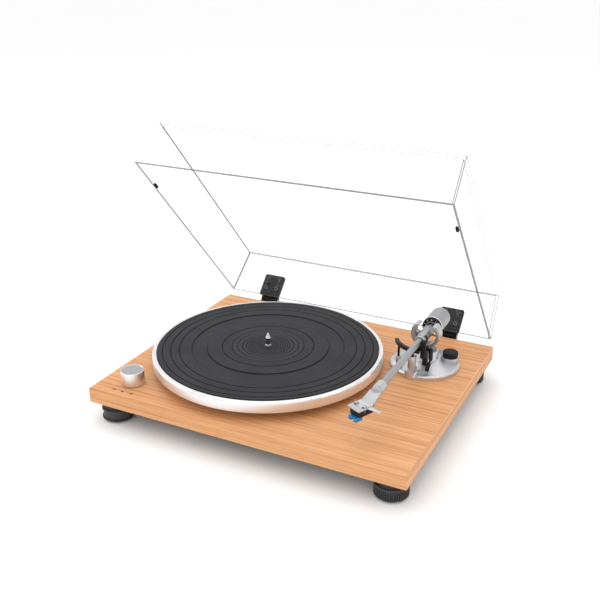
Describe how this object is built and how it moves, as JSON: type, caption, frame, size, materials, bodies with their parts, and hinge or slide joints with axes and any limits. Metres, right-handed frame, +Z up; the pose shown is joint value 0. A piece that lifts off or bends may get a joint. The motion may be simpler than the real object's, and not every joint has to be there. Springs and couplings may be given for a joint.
{
  "type": "turntable record player",
  "caption": "Belt-drive record player: wooden plinth on round feet, rubber-matted aluminium platter, balanced tonearm with cue lift, hinged clear dust cover shown open.",
  "frame": {"origin": "on the standing surface, under the middle of the whole object with its cover open", "axes": "+Z up, +Y to the rear (hinge side), +X to the right (tonearm side)"},
  "size_m": [0.42, 0.389, 0.3451],
  "materials": {
    "wood": "satin lacquered veneer, fine straight grain",
    "black_plastic": "fine matte",
    "black_steel": "satin black",
    "black_rubber": "matte",
    "mat_rubber": "matte, moulded rings",
    "steel": "zinc plated",
    "brass": "turned",
    "gold_plate": "plated",
    "chrome": "polished",
    "platter_aluminium": "turned and polished rim",
    "silver_aluminium": "fine satin",
    "satin_aluminium": "satin",
    "weight_silver": "satin plated",
    "circuit_board": "solder mask",
    "wire_insulation": "thin sleeve",
    "stylus_blue": "translucent moulding",
    "clear_acrylic": "clear, polished"
  },
  "bodies": {
    "chassis": {"plinth": "wood", "bottom_cover": "black_plastic", "bottom_cover_screws": "black_steel", "feet": "black_plastic", "foot_pads": "black_rubber", "foot_screws": "steel", "bearing": "brass", "motor_can": "steel", "motor_plate": "steel", "motor_grommets": "black_rubber", "drive_belt": "black_rubber", "speed_switch": "black_plastic", "main_board": "circuit_board", "rear_panel": "black_plastic", "rca_jacks": "gold_plate", "dc_jack": "black_plastic", "output_switch": "black_plastic", "ground_post": "chrome", "small_screws": "steel", "tonearm_base": "silver_aluminium", "pivot_housing": "brass", "base_clamp_nut": "steel", "lift_guides": "chrome", "armrest": "black_plastic", "anti_skate_housing": "silver_aluminium", "hinge_bracket_left": "black_plastic", "hinge_bracket_right": "black_plastic", "hinge_pins": "steel", "wiring": "wire_insulation"},
    "platter": {"platter": "platter_aluminium", "platter_mat": "mat_rubber", "spindle": "chrome"},
    "pulley": {"motor_pulley": "brass"},
    "yoke": {"yoke": "silver_aluminium", "pivot_screws": "brass"},
    "arm": {"arm_tube": "satin_aluminium", "arm_neck": "satin_aluminium", "rear_shaft": "satin_aluminium", "headshell": "silver_aluminium", "cartridge_body": "black_plastic", "stylus": "stylus_blue", "cartridge_screws": "steel", "lead_wires": "wire_insulation"},
    "locking_collar": {"locking_collar": "silver_aluminium"},
    "weight_carrier": {"weight_sleeve": "black_plastic"},
    "counterweight": {"counterweight": "weight_silver"},
    "force_dial": {"force_dial": "black_plastic"},
    "anti_skate": {"anti_skate_knob": "black_plastic"},
    "cue_lever": {"cue_lever": "black_steel", "cue_lever_grip": "black_rubber"},
    "lift_rail": {"lift_rail": "black_steel"},
    "arm_clip": {"arm_clip": "black_plastic"},
    "speed_knob": {"speed_knob": "silver_aluminium"},
    "output_slider": {"output_switch_slider": "black_plastic"},
    "ground_nut": {"ground_nut": "chrome"},
    "dust_cover": {"dust_cover": "clear_acrylic", "cover_bumpers": "black_rubber", "hinge_arm_left": "black_plastic", "hinge_arm_right": "black_plastic", "hinge_screws": "black_steel"}
  },
  "joints": [
    {"name": "platter_spin", "type": "hinge", "parent": "chassis", "child": "platter", "pos_m": [-0.043, -0.03294, 0.065], "axis": [0, 0, 1], "continuous": true},
    {"name": "pulley_spin", "type": "hinge", "parent": "chassis", "child": "pulley", "pos_m": [-0.13147, -0.09488, 0.055], "axis": [0, 0, 1], "continuous": true},
    {"name": "tonearm_swing", "type": "hinge", "parent": "chassis", "child": "yoke", "pos_m": [0.144, 0.05046, 0.092], "axis": [0, 0, 1], "range_deg": [-53, 0]},
    {"name": "tonearm_tilt", "type": "hinge", "parent": "yoke", "child": "arm", "pos_m": [0.144, 0.05046, 0.092], "axis": [-1, 0, 0], "range_deg": [-0.8, 12]},
    {"name": "locking_collar_turn", "type": "hinge", "parent": "arm", "child": "locking_collar", "pos_m": [0.144, -0.11154, 0.092], "axis": [0, 1, 0], "range_deg": [0, 90]},
    {"name": "weight_slide", "type": "slide", "parent": "arm", "child": "weight_carrier", "axis": [0, 1, 0], "range_m": [-0.0021, 0.0061]},
    {"name": "counterweight_turn", "type": "hinge", "parent": "weight_carrier", "child": "counterweight", "pos_m": [0.144, 0.08846, 0.092], "axis": [0, 1, 0], "range_deg": [-360, 1080]},
    {"name": "force_dial_turn", "type": "hinge", "parent": "counterweight", "child": "force_dial", "pos_m": [0.144, 0.07046, 0.092], "axis": [0, 1, 0], "continuous": true},
    {"name": "anti_skate_turn", "type": "hinge", "parent": "chassis", "child": "anti_skate", "pos_m": [0.1735, 0.06346, 0.063], "axis": [0, 0, 1], "range_deg": [0, 270]},
    {"name": "cue_lever_lift", "type": "hinge", "parent": "chassis", "child": "cue_lever", "pos_m": [0.1574, 0.03026, 0.079], "axis": [-1, 0, 0], "range_deg": [0, 65]},
    {"name": "lift_rail_slide", "type": "slide", "parent": "chassis", "child": "lift_rail", "axis": [0, 0, 1], "range_m": [0, 0.0031]},
    {"name": "arm_clip_turn", "type": "hinge", "parent": "chassis", "child": "arm_clip", "pos_m": [0.1525, 0.01546, 0.092], "axis": [0, 1, 0], "range_deg": [-75, 0]},
    {"name": "speed_knob_turn", "type": "hinge", "parent": "chassis", "child": "speed_knob", "pos_m": [-0.168, -0.15854, 0.055], "axis": [0, 0, 1], "range_deg": [0, 58]},
    {"name": "dust_cover_hinge", "type": "hinge", "parent": "chassis", "child": "dust_cover", "pos_m": [0, 0.15426, 0.045], "axis": [-1, 0, 0], "range_deg": [-48.4, 0]},
    {"name": "output_switch_slide", "type": "slide", "parent": "chassis", "child": "output_slider", "axis": [1, 0, 0], "range_m": [0, 0.004]},
    {"name": "ground_nut_turn", "type": "hinge", "parent": "chassis", "child": "ground_nut", "pos_m": [0.05, 0.14746, 0.0342], "axis": [0, 1, 0], "continuous": true}
  ],
  "couplings": [
    {"joint": "pulley_spin", "follows": "platter_spin", "ratio": 12.924},
    {"joint": "weight_slide", "follows": "counterweight_turn", "m_per_rad": 0.00031831},
    {"joint": "lift_rail_slide", "follows": "cue_lever_lift", "m_per_rad": 0.0026444}
  ]
}
